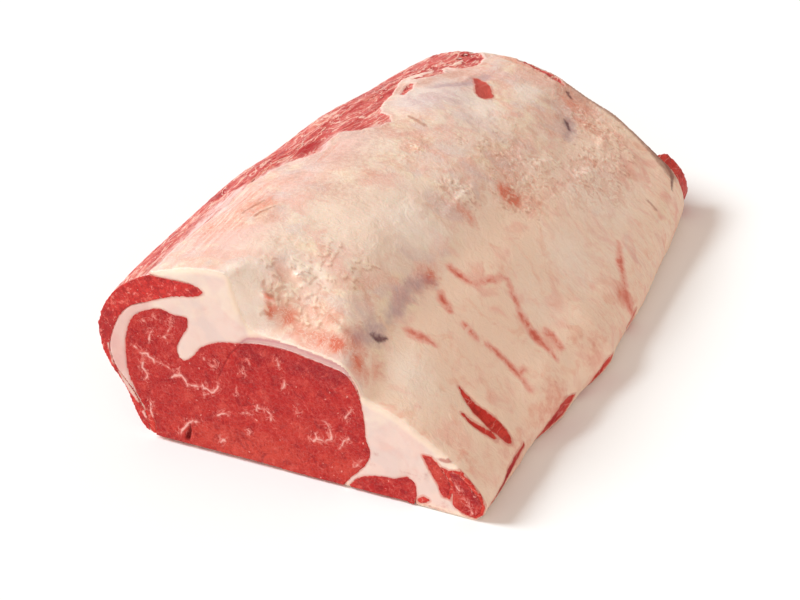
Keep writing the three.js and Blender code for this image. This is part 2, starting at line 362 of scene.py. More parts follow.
def add(kind, inputs=None, out=0, **settings):
    """Adds a node to the material begun last. Inputs: values, hex colours, outputs or kept fields' names."""
    made = tree.nodes.new("ShaderNode" + kind)
    for name, value in settings.items():
        setattr(made, name, value)
    for socket, value in (inputs or {}).items():
        if isinstance(value, str) and value[0] == "#":
            value = linear(value)
        elif isinstance(value, str):
            value = add("Attribute", out="Fac", attribute_name=value)
        if isinstance(value, bpy.types.NodeSocket):
            tree.links.new(value, made.inputs[socket])
        else:
            made.inputs[socket].default_value = value
    return made.outputs[out]


def paint(colour, layers, ragged):
    """Lays colours over one: each (hex, field or fields to multiply, start, full, raggedness, strength)."""
    for code, fields, start, full, rough, strength in layers:
        field, *others = fields if isinstance(fields, tuple) else (fields,)
        for other in others:
            field = add("Math", {0: field, 1: other}, operation="MULTIPLY")
        torn = add("Math", {0: ragged, 1: rough, 2: field}, operation="MULTIPLY_ADD")
        share = add("MapRange", {"Value": torn, "From Min": start, "From Max": full, "To Max": strength},
                    interpolation_type="SMOOTHSTEP")
        colour = add("Mix", {0: share, 6: colour, 7: code}, 2, data_type="RGBA")
    return colour


def begin(name):
    """Begins a material, and gives its node tree and its places to the functions round this one."""
    global tree, place
    material = bpy.data.materials.new(name)
    material.use_nodes = True
    tree = material.node_tree
    place = add("TexCoord", out="Object")
    return material


def swirl(size, detail=3.0, roughness=0.55, squash=(1, 1, 1), offset=(0, 0, 0), warp=0.0):
    """Smooth noise, 0 to 1, with lumps of that size in mm, squashed more or less along each axis."""
    scales = [s / (size * MM) for s in squash]
    scaled = add("Mapping", {"Vector": place, "Scale": scales, "Location": offset})
    return add("TexNoise", {"Vector": scaled, "Scale": 1.0, "Detail": detail, "Roughness": roughness,
                            "Distortion": warp}, out="Fac")


def threads(field, width):
    """Thin lines where a field crosses its middle: how far off them it is, and 1 on them to 0 beside them."""
    off = add("Math", {0: field, 1: 0.5}, operation="SUBTRACT")
    off = add("Math", {0: off}, operation="ABSOLUTE")
    return off, add("MapRange", {"Value": off, "From Min": width, "From Max": 0.0})


def across_grain(ragged, coarse):
    """Lean cut across its grain: packed bundles of fibre, paler threads between them, and marbling."""
    flat = add("Mapping", {"Vector": place, "Scale": (1 / MM, 0, 1 / MM)})
    wobble = add("TexNoise", {"Vector": flat, "Scale": 0.3, "Detail": 3.0}, out="Color")
    bent = add("VectorMath", {0: wobble, 1: (4.4, 4.4, 4.4), 2: flat}, operation="MULTIPLY_ADD")
    scale = 0.26 if coarse else 0.34    # bundles for each mm
    bundle = add("TexVoronoi", {"Vector": bent, "Scale": scale}, out="Color")
    gap = add("TexVoronoi", {"Vector": bent, "Scale": scale}, feature="DISTANCE_TO_EDGE")
    tone = add("SeparateColor", {0: bundle})
    broad = swirl(26, 3.0, 0.6, offset=(4, 1, 2))
    lumps = swirl(7, 4.0, 0.65, offset=(8, 2, 5), warp=0.6)
    hue = swirl(3.2, 3.0, 0.6, offset=(7, 7, 1), warp=0.5)
    darker, paler = ("#C02A2B", "#DA4038") if coarse else ("#AB1F23", "#BE2E28")
    colour = add("Mix", {0: broad, 6: darker, 7: paler}, 2, data_type="RGBA")
    colour = paint(colour, [
        ("#CB4A3B", "glow", 0.2, 1, 0.5, 0.7),
        ("#93212A", "shade", 0.2, 1, 0.4, 0.7),
        ("#8E1820", lumps, 0.48, 0.34, 0.1, 0.6),
        ("#D04E42", lumps, 0.53, 0.68, 0.1, 0.6),
        ("#98171E", hue, 0.44, 0.32, 0.1, 0.5),
        ("#D65A52", hue, 0.56, 0.68, 0.1, 0.45),
        ("#D2564A", tone, 0.6, 1, 0.15, 0.12),
        ("#8E161A", tone, 0.38, 0, 0.15, 0.14),
        ("#E08B80", gap, 0.08, 0, 0.25, 0.12),
    ], ragged)
    if coarse:
        colour = paint(colour, [
            ("#A01419", gap, 0.12, 0.02, 0.5, 0.5),
            ("#E87468", lumps, 0.58, 0.7, 0.3, 0.6),
            ("#F0958C", hue, 0.62, 0.72, 0.25, 0.6),
        ], ragged)
    near = add("Math", {0: "marbling", 1: -0.2, 2: 1.0}, operation="MULTIPLY_ADD", use_clamp=True)
    branches = swirl(6, 2.0, 0.5, squash=(1, 0, 1), offset=(3, 0, 1), warp=0.8)
    _, branch = threads(branches, 0.045)
    fleck = add("TexVoronoi", {"Vector": bent, "Scale": 0.2})
    in_fleck = add("Math", {0: 0.16, 1: fleck}, operation="SUBTRACT")
    lone = add("SeparateColor", {0: fleck.node.outputs["Color"]}, 1)
    lone = add("Math", {0: lone, 1: 0.5}, operation="GREATER_THAN")
    colour = paint(colour, [
        ("#DD8379", (near, branch), 0.1, 0.75, 0.7, 0.8),
        ("#E7A196", (in_fleck, lone), 0, 0.08, 0.16, 0.75),
        ("#6E1014", "pit", 0.9, -1.2, 1.6, 0.85),
        ("#8E1A20", "seam", 0.8, -0.1, 1, 0.55),
        ("#D6736A", "marbling", 1.3, 0, 1.4, 0.6),
        ("#EDB5AC", "marbling", 0.25, -0.45, 1.5, 0.85),
        ("#E6C6BC", "tail", 0.9, -0.6, 1.6, 0.9),
    ], ragged)
    return colour, lumps, gap


def along_grain(ragged):
    """Lean laid bare along its grain: patches of red under pale streaks and nets of tissue, filmed over."""
    lumps = swirl(5.5, 4.0, 0.66, squash=(1, 0.55, 1), warp=0.9)
    patches = swirl(13, squash=(1, 0.5, 1), offset=(2, 3, 4), warp=0.9)
    streak = swirl(3.4, 3.0, 0.6, squash=(1, 0.2, 1), offset=(2, 0, 5), warp=0.9)
    flecks = swirl(3.0, 3.0, 0.6, squash=(1, 0.6, 1), offset=(1, 7, 2), warp=1.0)
    net = swirl(11, 2.5, 0.55, squash=(1, 0.28, 1), offset=(5, 5, 5), warp=1.1)
    line, vein = threads(net, 0.03)
    broad = swirl(24, 2.0, 0.5, squash=(1, 0.35, 1), offset=(3, 0, 8), warp=0.4)
    colour = add("Mix", {0: broad, 6: "#B93A3C", 7: "#D8625A"}, 2, data_type="RGBA")
    colour = paint(colour, [
        ("#A81F27", patches, 0.45, 0.32, 0.08, 0.85),
        ("#E59482", patches, 0.54, 0.68, 0.08, 0.8),
        ("#931D26", lumps, 0.44, 0.3, 0.1, 0.6),
        ("#E8897C", lumps, 0.54, 0.68, 0.12, 0.7),
        ("#8E1A24", streak, 0.41, 0.32, 0.1, 0.5),
        ("#F3C9B6", line, 0.036, 0.004, 0.03, 0.75),
        ("#F4D3CA", flecks, 0.6, 0.7, 0.1, 0.7),
        ("#F0C0B4", streak, 0.58, 0.7, 0.12, 0.55),
        ("#DE9C94", ("film", streak), 0.08, 0.4, 0.3, 0.7),
        ("#F3CFC8", ("film", streak), 0.3, 0.56, 0.3, 0.85),
        ("#C8352D", "raw", 0.1, 0.4, 0.3, 0.95),
        ("#DB4A3E", ("raw", lumps), 0.4, 0.62, 0.3, 0.75),
        ("#8A1512", ("raw", streak), 0.52, 0.66, 0.3, 0.4),
        ("#F0A598", ("raw", vein), 0.3, 1, 0.3, 0.5),
        ("#C4574C", ("raw", "soft"), 0.3, 0.8, 0.8, 0.75),
        ("#A81820", "vivid", 0.2, 0.9, 0.5, 0.85),
    ], ragged)
    return colour, add("Math", {0: lumps, 1: 2.2}, operation="MULTIPLY")


def moist(colour, roughness, height, depth, glow, glow_reach):
    """Ends a material in wet flesh: light goes in a little way, and the surface shines softly."""
    relief = add("Bump", {"Height": height, "Strength": 0.7, "Distance": depth * MM})
    shader = tree.nodes["Principled BSDF"]
    for socket, source in (("Base Color", colour), ("Normal", relief), ("Roughness", roughness)):
        tree.links.new(source, shader.inputs[socket])
    for socket, value in (("IOR", WET_IOR), ("Specular IOR Level", 0.22), ("Subsurface Weight", glow),
                          ("Subsurface Radius", glow_reach), ("Subsurface Scale", MM)):
        shader.inputs[socket].default_value = value


def raw_lean(name, coarse):
    """Moist raw lean beef: cut across its grain at the ends, and bare along its grain elsewhere."""
    material = begin(name)
    rough_edge = swirl(1.7, 4.0, 0.65, offset=(1, 5, 9))
    ragged = add("Math", {0: rough_edge, 1: 0.5}, operation="SUBTRACT")
    crossed, lumps, gap = across_grain(ragged, coarse)
    lengthways, long_height = along_grain(ragged)
    colour = add("Mix", {0: "cut", 6: lengthways, 7: crossed}, 2, data_type="RGBA")
    bundles = add("MapRange", {"Value": gap, "From Max": 0.25, "To Max": 0.35})
    crossed_height = add("Math", {0: lumps, 1: 1.6, 2: bundles}, operation="MULTIPLY_ADD")
    height = add("Mix", {0: "cut", 2: long_height, 3: crossed_height}, data_type="FLOAT")
    fine = swirl(1.1, 2.0)
    height = add("Math", {0: fine, 1: 0.25, 2: height}, operation="MULTIPLY_ADD")
    sheen = add("MapRange", {"Value": rough_edge, "From Min": 0.3, "From Max": 0.7,
                             "To Min": 0.36, "To Max": 0.55})
    moist(colour, sheen, height, 0.7, 0.15, (1.0, 0.3, 0.2))
    return material


def dress(piece, finish):
    piece.data.materials.clear()
    piece.data.materials.append(finish)


# Threads of marbling on the loin end: rows of (x, z, half width).
MARBLING = [
    [(-93.5, 79, 0.4), (-95, 74, 0.7), (-96, 69, 0.4)],
    [(-80, 90, 0.5), (-81, 84, 0.4), (-83, 78, 0.3)],
    [(-84.5, 76, 1.1), (-84, 75, 0.8)],
    [(-99.5, 84, 0.7), (-98, 84, 0.7)],
    [(-92.5, 88.5, 0.5), (-90, 87, 0.3)],
    [(-106, 64, 0.4), (-102, 60.5, 0.8), (-97, 61, 0.8), (-94, 57.5, 0.9), (-93, 55, 0.5)],
    [(-100.5, 60, 0.4), (-101, 54, 0.5), (-101.5, 50, 0.9), (-98.5, 46, 0.7), (-99.5, 42, 0.6)],
    [(-93, 57.5, 0.6), (-88, 57, 0.6), (-84, 55, 0.5), (-80, 52, 0.3)],
    [(-81.5, 48, 0.5), (-78, 50.2, 0.9), (-74, 51.2, 1), (-71.5, 48, 0.9), (-70, 44.5, 0.7)],
    [(-76, 51, 0.7), (-75.5, 56, 0.3)],
    [(-70, 46, 0.6), (-66, 46, 0.6), (-61, 47.5, 0.4)],
    [(-60, 49, 0.7), (-60, 46.5, 0.8), (-57, 47, 0.6), (-54, 44.6, 0.9), (-50.5, 48, 0.7), (-49.5, 53, 0.3)],
    [(-59, 41.5, 0.5), (-56, 43, 0.5)],
    [(-63, 20.5, 0.3), (-67.5, 20.5, 0.8), (-71.5, 17.5, 0.9), (-74, 13, 1), (-77, 8.5, 0.8)],
    [(-51, 29, 0.7), (-46.5, 31.5, 1), (-44, 32, 0.4)],
    [(-23.5, 44, 0.5), (-24, 39.5, 0.5)],
    [(-23.5, 42, 0.3), (-18, 42, 0.5), (-15, 39, 0.5), (-14.5, 35.5, 0.9)],
    [(-5, 66, 0.4), (-5.6, 62, 0.9), (-6.5, 59.5, 0.4)],
    [(19.5, 44, 0.3), (23, 43, 0.5), (25, 38, 0.7), (25, 32, 0.8), (21, 29, 0.8), (16.5, 31, 0.9),
     (15, 33.5, 0.7)],
    [(16, 31, 0.6), (13.5, 28, 0.7), (10, 30, 0.4)],
    [(36.5, 36.5, 0.8), (33, 32, 0.8), (30, 27, 0.5)],
    [(-49, 10.5, 0.8), (-47, 12.6, 1.1), (-46, 11, 0.5)],
    [(38.5, 57, 0.3), (36, 52, 0.5), (34.5, 49.5, 0.7)],
    [(-28.5, 73, 0.6), (-28, 71.5, 0.5)],
    [(-33, 66.5, 0.5), (-32.6, 64, 0.4)],
    [(-58.5, 68, 0.5), (-58, 66.5, 0.4)],
    [(-53, 63, 0.3), (-50, 65, 0.4), (-51, 68, 0.3)],
    [(-38, 51, 0.5), (-37, 48, 0.5)],
    [(-30, 23.5, 0.6), (-29, 21.5, 0.4)],
    [(3, 48, 0.6), (4, 46, 0.5)],
    [(-34, 35, 0.4), (-29, 36, 0.6)],
    [(45, 22.5, 0.3), (42, 19, 0.3), (40, 17, 0.1)],
    [(105.2, 24.2, 0.2), (108, 19.1, 0.5)],
    [(110.8, 15, 0.4), (113.4, 11.9, 0.2), (117, 5.1, 0.5)],
    [(-97, 26, 0.5), (-96.5, 20, 0.8), (-96.5, 14, 0.5)],
    [(-101.5, 17.5, 1.3), (-100.5, 14, 0.9)],
    [(-9.5, 80, 0.4), (-8, 74, 0.5)],
]
MARBLING_THINNER, MARBLING_WOBBLE, MARBLING_FRAY = 0.22, 0.9, 0.45
# Fat over the cap muscle's thin tail, low on the chine side. The rows here are as those of marbling.
TAIL_FAT = [[(-124, 61, 0.6), (-120.5, 52, 2.1), (-116, 43.3, 2.4), (-110.4, 33.9, 2.4), (-105.4, 25, 1.2)]]
# Where the bundles part, low on the left, and the faint seams between them.
GAPE = [[(-70, 18, 0.2), (-70.5, 12, 1.3), (-72, 7, 1.9)]]
FURROW = [[(-31, 86, 0.1), (-41, 75, 0.2), (-47, 62, 0.1), (-50, 55, 0.0)], [(-24, 44, 0), (-34, 40, 0)]]
# Brighter and darker places of the loin end: (x, z, half width, half height, strength).
GLOW_SPOTS = [(-30, 12, 60, 16, 1.0), (30, 14, 24, 14, 0.8), (-64, 34, 22, 16, 0.5), (8, 30, 40, 18, 0.6),
              (108, 12, 7, 7, 0.9), (93, 27, 9, 12, 1)]
SHADE_SPOTS = [(18, 78, 26, 8, 1.0), (-22, 80, 26, 8, 0.7), (-6, 56, 18, 16, 0.3), (-88, 44, 22, 12, 0.35),
               (108, 29, 9, 3.5, 1.3), (119, 19, 4, 8, 1.2), (60, 17, 22, 3, 0.9), (-124, 74, 9, 20, 0.8)]
# Where the fat ends on the chine side, seen from above, and spots of lean past it.
BARE_EDGE = [
    (-96, -212), (-93, -190), (-95, -156), (-97, -130), (-99, -108), (-96, -90), (-87, -77), (-84, -60),
    (-79, -47), (-68, -40), (-63, -29), (-67, -13), (-66, 0), (-54, 5), (-45, 16), (-42, 26), (-46, 35),
    (-54, 39), (-60, 52), (-63, 66), (-68, 92), (-74, 114), (-73, 130), (-66, 142), (-59, 152), (-57, 166),
    (-56, 180), (-56, 190), (-56, 212), (-150, 212), (-150, -212),
]
BARE_SPOTS = [
    [(-56, 79, 1.6), (-58, 90, 3), (-61, 102, 2)],
    [(-50, 89, 2)],
    [(-66, 118, 1.4), (-60, 126, 3.4), (-57, 138, 4.4), (-60, 148, 2.4)],
    [(-56, 160, 4), (-49, 160, 6.5), (-46, 172, 7), (-50, 186, 7), (-56, 198, 6)],
    [(-20, 200, 1.2), (-8, 199, 3), (6, 197.5, 2.4), (14, 196, 0.8)],
]
# Deep red places in the bare lean: (x, y, half width, half height, strength).
VIVID_SPOTS = [
    (-76, -22, 7, 14, 1.3), (-56, 12, 8, 6, 0.7), (-66, 60, 6, 14, 0.7), (-50, 170, 7, 10, 0.5),
    (-98, -196, 8, 14, 0.5), (123, -170, 6, 26, 0.9), (123, -96, 6, 20, 0.75), (123, -32, 6, 20, 0.9),
]
# Slashes through the fat, seen from above.
SLASHES = [
    [(85, -152, 0.6), (91, -153, 2.4), (98, -154, 4.6), (107, -153, 6), (114, -152, 4.6), (117, -151, 1.4)],
    [(93, -167, 0.5), (98, -166.5, 1.5), (103, -165, 2), (111, -161, 1.8)],
    [(-27, 138, 2.5), (-19, 129, 5.5), (-13, 117, 6), (-12, 112, 3.5)],
]
# Lean that shows along the lip's free edge: rows of (y, z, half width).
EDGE_STRIPS = [
    [(-200, 6, 0.3), (-178, 8.5, 1.4), (-167, 12, 2.2), (-155, 14, 1.5), (-139, 14.5, 0.6)],
    [(-122, 4, 0.3), (-112, 6, 1.2), (-102, 8.5, 2.6), (-90, 10.5, 4), (-80, 11, 3.8), (-72, 10, 1.8),
     (-67, 9, 0.4)],
    [(-58, 2, 0.2), (-48, 4, 1), (-38, 7, 1.8), (-30, 9, 3), (-22, 10, 2.6), (-14, 10.5, 0.4)],
    [(22, 8, 0.4), (32, 9, 1), (42, 12, 0.4)],
]


def from_outline(across, up, outline):
    """Distance in mm to a closed outline, less than 0 inside it."""
    ring = [(x, y, 0) for x, y in outline]
    gap = from_strokes(across, up, [ring + ring[:1]])
    inside = np.zeros(len(across), dtype=bool)
    for (ax, ay, _), (bx, by, _) in zip(ring, ring[1:] + ring[:1]):
        spans = (ay > up) != (by > up)
        inside ^= spans & (across < ax + (up - ay) * (bx - ax) / ((by - ay) or 1e-9))
    return np.where(inside, -gap, gap)


def band_gap(x, y, z):
    """Distance in mm to the bare side and its outliers, less than 0 inside."""
    gap = np.minimum(from_outline(x, y, BARE_EDGE), from_strokes(x, y, BARE_SPOTS))
    return np.where(z > UPPER_SIDE, gap, FAR)


def open_gap(x, y, z):
    """Distance in mm to the slashes and the strips of lean at the lip's edge, less than 0 inside."""
    on_top = np.where(z > LIP_TOP, from_strokes(x, y, SLASHES), FAR)
    return np.minimum(on_top, np.where(x > LIP_FACE, from_strokes(y, z, EDGE_STRIPS), FAR))


def film_over(x, y, z):
    """The film of tissue on the bare side: thickest by its upper edge and in front, hardly any behind."""
    film = ease(band_gap(x, y, z), -9, 1) * (1 - 0.75 * ease(y, -20, 60))
    return film * ease(z, UPPER_SIDE, 50) * (x < EYE_SIDE)


def soft_spots(across, up, spots):
    """How strongly each place lies in some soft round patches: (x, y, half width, half height, strength)."""
    most = np.zeros(len(across))
    for x, y, wide, high, strength in spots:
        most = np.maximum(most, strength * np.exp(-((across - x) / wide) ** 2 - ((up - y) / high) ** 2))
    return most


def cut_lean(piece):
    """Gives a muscle its knife-cut ends, and the fields that its material reads."""
    places = places_of(piece)
    cut = cut_share(places, facing_of(piece))
    x, y, z = places.T
    loin = y < 0
    bent_x = x + MARBLING_WOBBLE * wander(places, 4.5, 71.0, 3)
    bent_z = z + MARBLING_WOBBLE * wander(places, 4.5, 82.0, 3)
    strokes = from_strokes(bent_x, bent_z, MARBLING)
    strokes = np.where(loin, strokes, from_strokes(bent_x * 1.2 + 9, bent_z * 1.25, MARBLING[::2]))
    strokes += MARBLING_THINNER + MARBLING_FRAY * wander(places, 3.5, 93.0)
    gape = np.where(loin, from_strokes(x, z, GAPE), OFF_END)
    furrow = np.where(loin, from_strokes(x, z, FURROW), OFF_END)
    outward = cut_waves(places) + LEAN_PROUD + GRAIN_RELIEF * wander(places, 3.2, 5.5)
    outward -= GAPE_DEPTH * ease(gape, 0.8, -2.4) + FURROW_DEPTH * ease(furrow, 0.9, 0)
    outward += MARBLING_RELIEF * ease(strokes, 1.0, -0.3)
    y += np.where(loin, -1, 1) * cut * outward
    move_to(piece, places)
    tail = np.where(loin, from_strokes(bent_x, bent_z, TAIL_FAT), OFF_END) + FAR * (x > -80)
    keep(piece, cut=cut, marbling=strokes, tail=tail, pit=gape, seam=furrow,
         glow=np.where(loin, soft_spots(x, z, GLOW_SPOTS), 0.2),
         shade=np.where(loin, soft_spots(x, z, SHADE_SPOTS), 0.1),
         film=film_over(x, y, z) * (1 - cut),
         raw=ease(y, CHUCK_Y - 40, CHUCK_Y - 28) * ease(x, EYE_SIDE, 50) * ease(z, 0.4, 2.5),
         vivid=soft_spots(x, y, VIVID_SPOTS) * (1 - cut) * (z > UPPER_SIDE))


def on_loin_end(piece):
    """Which vertices lie on the loin end's cut face."""
    return places_of(piece)[:, 1] < LOIN_Y + ON_CUT


eye = rough_out("rib_eye", "eye_of_lean", LEAN_VOXEL)
thin_out(eye, hidden_in_seam(eye, ["fat_cover"]), SEAM_SHARE)
thin_out(eye, places_of(eye)[:, 2] < SOLE, SOLE_SHARE)
refine(eye, on_loin_end(eye))
cut_lean(eye)
dress(eye, raw_lean("raw_lean_of_the_eye", False))
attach(eye, "root")
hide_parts("rib_eye")

# ---- The cap muscle ----
# The brighter, coarser muscle that wraps the chine side. It is knife-cut at both ends, and bare along its
# grain down the whole side, with white threads of tissue and dark furrows running lengthways.


def furrows(places):
    """How far lean that is bare along its grain stands in or out: fibres in long uneven bundles."""
    bundles = wander(places, (9, 90, 9), 2.2)
    fibres = wander(places, (3.0, 34, 3.0), 7.9)
    lumps = wander(places, (6, 11, 6), 5.1, 3)
    return 0.7 * bundles + 0.3 * fibres + 0.45 * lumps - 0.5 * ease(np.abs(bundles), 0.1, 0.0)


def skin_share(places, facing):
    """1 on the outer skin, 0 on the cut ends and the sole."""
    level = ease(places[:, 2], 0.2, 2.5)
    return level * (1 - cut_share(places, facing))


cap = rough_out("cap_muscle", "cap_of_lean", LEAN_VOXEL)
cap_hidden = hidden_in_seam(cap, ["fat_cover"])
cap_ends = np.minimum(places_of(cap)[:, 1] - LOIN_Y, CHUCK_Y - places_of(cap)[:, 1])
smooth_skin(cap, ~cap_hidden * ease(cap_ends, 0.6, 5.0), 40)
thin_out(cap, cap_hidden, SEAM_SHARE)
refine(cap, on_loin_end(cap))
cut_lean(cap)
cap_places = places_of(cap)
cap_facing = facing_of(cap)
cap_skin = skin_share(cap_places, cap_facing) * (cap_facing[:, 0] < 0.5)
move_to(cap, cap_places + cap_facing * (furrows(cap_places) * cap_skin * 0.8 - 0.15 * cap_skin)[:, None])
dress(cap, raw_lean("raw_lean_of_the_cap", True))
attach(cap, "root")
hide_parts("cap_muscle")

# ---- The small muscles of the side and the lip ----
# Three straps of darker lean, cut across at both ends: one along the sole beside the eye, and two in the lip.
STRAP_SEAM_SHARE = 0.05
SUNK = 14    # how far the two inner straps end short of the chuck end's cut, high up
strap_finish = raw_lean("raw_lean_of_the_straps", False)
for node_name, piece_name in (("side_strap", "side_strap_of_lean"), ("lip_strap", "lip_strap_of_lean"),
                              ("lip_edge", "lip_edge_of_lean")):
    strap = rough_out(node_name, piece_name, LEAN_VOXEL)
    thin_out(strap, hidden_in_seam(strap, ["fat_cover"]), STRAP_SEAM_SHARE)
    refine(strap, on_loin_end(strap))
    cut_lean(strap)
    x, y, z = places_of(strap).T
    sunk = SUNK * ease(x, 90, 82) * ease(y, CHUCK_Y - 18, CHUCK_Y) * ease(z, 26, 38)
    move_to(strap, np.stack([x, y - sunk, z], axis=1))
    dress(strap, strap_finish)
    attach(strap, "root")
    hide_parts(node_name)

# ---- The fat cover ----
# One layer of firm cream fat over, between and beside the muscles. Outside it is dull and warm, crumbly where
# it was torn, with a film of tissue on the chine side. The knife left it smooth and pinkish where it is cut.
FAT_VOXEL = 1.2
FAT_SEAM_SHARE = 0.02
FAT_SOLE_SHARE = 0.1
CALM_SHARE = 0.3   # how much of its mesh smooth fat keeps
MOST_TRIANGLES = 190000
NEAR_LEAN = 12     # how far from the lean its tint is still worked out
CUT_BAND = 1.8     # how far behind the loin end's cut the lean's edge is still drawn
# How high each kind of relief stands on the skin, in mm, or how deep it goes.
SWELLS, LUMPS, FLAKES, CRUMBS, SHREDDED = 0.5, 0.35, 0.7, 0.7, 0.3
FIBRES, WRINKLES, RIPPLES = 0.2, 0.4, 0.15
BAND_LIP, BAND_STEP, SLASH_DEPTH, CREASE_DEPTH, DENT_DEPTH = 0.5, 0.8, 0.7, 0.6, 0.5
# Blood streaks under the skin, seen from above: rows of (x, y, half width), as are all the rows here.
STREAKS = [
    [(46, -77, 2), (54, -77, 2.2), (62, -75, 1.4), (66, -62, 0.7), (70, -51, 1), (73, -48, 0.8)],
    [(73, -48, 0.6), (80, -56, 1), (90, -62, 2.2), (99, -65, 4), (106, -66, 2.2), (114, -68, 1)],
    [(50, -101, 1), (53, -105, 3), (59, -108, 2)],
    [(70, -109, 1.8), (77, -109, 1)],
    [(84, -105, 1.2), (92, -103, 1.8), (98, -103, 2), (104, -104, 1.4), (112, -106, 0.8)],
    [(50, -147, 2.4), (57, -144, 2.6), (63, -142, 1)],
    [(103, 74, 0.4), (107, 64, 1.4), (111, 55, 2), (116, 48, 1.2)],
    [(117, 45, 1), (121, 39, 2.6), (125, 33, 3)],
    [(104, -102, 0.6), (104, -96, 0.6)],
    [(104, -54, 2.6), (112, -56, 2)],
]
# Shallow scores of the knife.
SCORES = [
    [(-53, -118, 0), (-57, -126, 0.3), (-60, -134, 0.1)],
    [(-64, -112, 0), (-68, -124, 0.3), (-69, -130, 0.1)],
    [(-34, 39, 0.2), (-27, 36, 0.8), (-20, 33, 0.4)],
    [(100, 137, 0.2), (106, 136, 0.4)],
]
# Orange and red blushes. A spot, here and below, is (x, y, half width, half height, strength).
BLUSH_SPOTS = [
    (46, 20, 7, 7, 2.4), (46, 20, 16, 17, 0.6), (60, 34, 9, 8, 0.4), (41, -98, 7, 10, 1),
    (25, -195, 8, 6, 1.3), (31, -187, 10, 11, 0.75), (-19, -193, 5, 4, 1.1), (-8, -192, 6, 4, 1.1),
    (2, -196, 12, 4, 0.75), (14, -195, 26, 9, 0.85), (-6, -191, 14, 7, 0.9), (12, -182, 20, 9, 0.6),
    (124, -150, 9, 40, 0.5), (124, -96, 9, 26, 0.6), (126, -30, 8, 24, 0.5), (104, -192, 16, 8, 0.45),
    (-40, -196, 8, 5, 0.3), (38, -194, 7, 8, 0.9), (-66, -120, 16, 20, 0.7), (-84, -150, 12, 30, 0.35),
    (-8, 198, 30, 7, 0.9), (36, -28, 9, 8, 0.7), (24, -60, 12, 30, 0.2), (40, 92, 16, 20, 0.3),
    (104, -60, 14, 8, 0.35), (122, 36, 6, 9, 1.2), (118, -40, 10, 14, 0.4), (-22, -48, 8, 8, 0.5),
    (5, 60, 12, 16, 0.25), (80, 146, 8, 10, 0.6), (62, 70, 10, 14, 0.35), (66, 122, 9, 12, 0.5),
    (44, 164, 12, 10, 0.8), (30, 178, 16, 12, 0.8), (-84, -20, 10, 60, 0.3), (46, -184, 8, 12, 0.5),
    (108, 40, 12, 14, 0.3), (86, 60, 12, 24, 0.25),
]
# Where the fat is darker and pinker, where it is paler in tone and painted lighter on slopes turned from the
# light, and where it is a cool white.
DUSKY_SPOTS = [
    (-34, -80, 26, 20, 0.75), (-52, -132, 14, 14, 0.6), (-44, -40, 34, 22, 0.7), (-20, -26, 14, 18, 0.5),
    (-34, 16, 30, 20, 0.7), (-46, 12, 12, 12, 0.5), (24, 188, 14, 14, 1.3), (16, 158, 6, 8, 0.9),
    (-52, 112, 8, 14, 1.3), (-46, 136, 10, 14, 1.3), (-34, 92, 6, 18, 0.6), (-64, -70, 14, 16, 0.4),
    (-62, 90, 7, 12, 1.5),
]
PALER_AND_PAINTED_LIGHT_SPOTS = [
    (20, -72, 20, 26, 1), (75, 100, 34, 60, 0.8), (-30, -194, 14, 18, 1.2), (-8, -168, 18, 16, 0.8),
    (40, 60, 16, 24, 0.6), (26, -14, 9, 14, 0.8), (100, 60, 24, 70, 0.5), (60, -172, 22, 22, 0.6),
    (90, -40, 24, 30, 0.5), (-4, 92, 16, 22, 0.9), (4, 152, 12, 22, 0.9), (90, 20, 24, 40, 0.7),
    (-36, -198, 12, 10, 1.4),
]
WHITISH_SPOTS = [
    (-40, 76, 18, 26, 1.2), (-26, 92, 20, 26, 0.9), (-42, 108, 9, 14, 0.7), (-8, 70, 16, 24, 0.5),
]
# Where the fat is one even tone.
CALM_SPOTS = [
    (-6, -96, 26, 34, 1), (-48, -160, 22, 16, 0.8), (-40, -30, 20, 30, 0.5), (60, -20, 20, 40, 0.7),
]
# Loose crumbs and shreds of fat: (x, y, how far they spread, how many, how long).
SHREDS = [
    (-10, -164, 13, 16, 8), (4, -146, 14, 18, 8), (-20, -186, 6, 8, 6), (2, -184, 12, 12, 6),
    (25, -14, 9, 22, 4), (45, 20, 12, 16, 5), (51, 83, 9, 9, 5), (68, 99, 8, 9, 5), (69, 158, 12, 24, 4),
    (46, 166, 11, 14, 4), (-13, 4, 2, 2, 10), (8, 40, 14, 8, 5), (60, 130, 16, 16, 4), (-30, -176, 9, 6, 7),
    (30, 60, 30, 12, 4),
]
# Painted shade along sunk creases and in small dark dents, the chuck end's edge, and a rim of painted shade
# by it.
CREASE_SHADE_STROKES = [
    [(43, -99, 0), (39, -110, 1), (37, -126, 1.6), (38, -140, 1), (38, -152, 0.4)],
    [(38, -160, 0.6), (35, -174, 1.6), (31, -184, 0.8)],
    [(44, 128, 0.6), (41, 142, 1.4), (37, 154, 1)],
    [(-24, 150, 1.5), (-30, 120, 2), (-44, 100, 1)],
]
# Small dents, sunk and painted dark with their shade.
DENT_SHADE_SPOTS = [
    [(42, -163, 0.2), (38.5, -168, 1.2), (36, -171, 0.5)],
    [(20, 190, 0.8), (24, 186, 0.5)],
    [(34, 150, 0.7), (40, 142, 0.4)],
]
CHUCK_EDGE = [[(0, 205, 0.2), (24, 203.5, 0.5), (58, 200.5, 0.8), (80, 193, 0.8), (100, 184, 0.8)]]
# A rim of painted shade by the chuck end's edge.
CHUCK_RIM_SHADE = [
    [(56, 202, 0.8), (66, 199, 1.5), (82, 193, 2.2), (94, 190, 2.4), (101, 184, 1.6), (106, 170, 0.4)],
]
